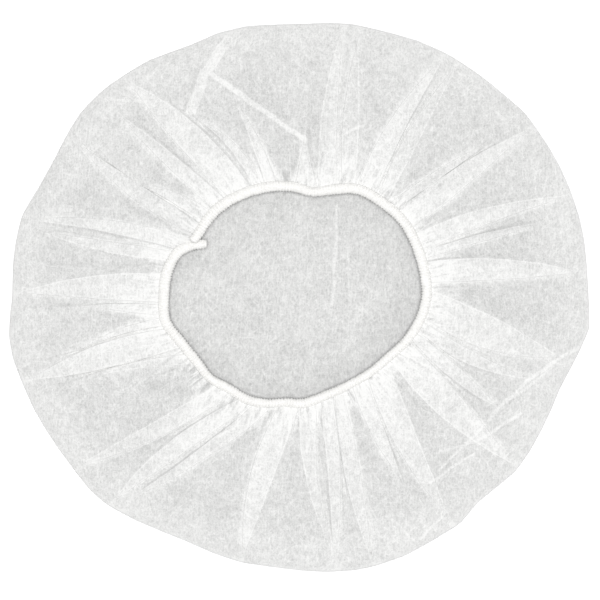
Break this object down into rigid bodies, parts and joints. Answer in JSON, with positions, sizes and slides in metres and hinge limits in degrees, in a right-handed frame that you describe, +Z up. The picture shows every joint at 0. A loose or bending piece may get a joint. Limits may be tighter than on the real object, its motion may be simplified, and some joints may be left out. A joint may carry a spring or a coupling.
{
  "type": "bouffant hairnet",
  "caption": "Disposable round nonwoven cap, pleated and gathered to an elastic mouth, lying flat with its mouth up; it is worn over the hair.",
  "frame": {"origin": "middle of the cap's outline, on the surface that the back layer rests on", "axes": "+Z up out of the mouth, +X along the outline's longest reach, +Y towards the side where the band dips inward"},
  "size_m": [0.3486, 0.3302, 0.02],
  "materials": {
    "nonwoven": "matte white spunbond web, brighter where pleats lie double",
    "hem": "matte warm white overlocked hem with elastic inside"
  },
  "bodies": {
    "root": {"crown": "nonwoven", "elastic_band": "hem"}
  },
  "joints": []
}
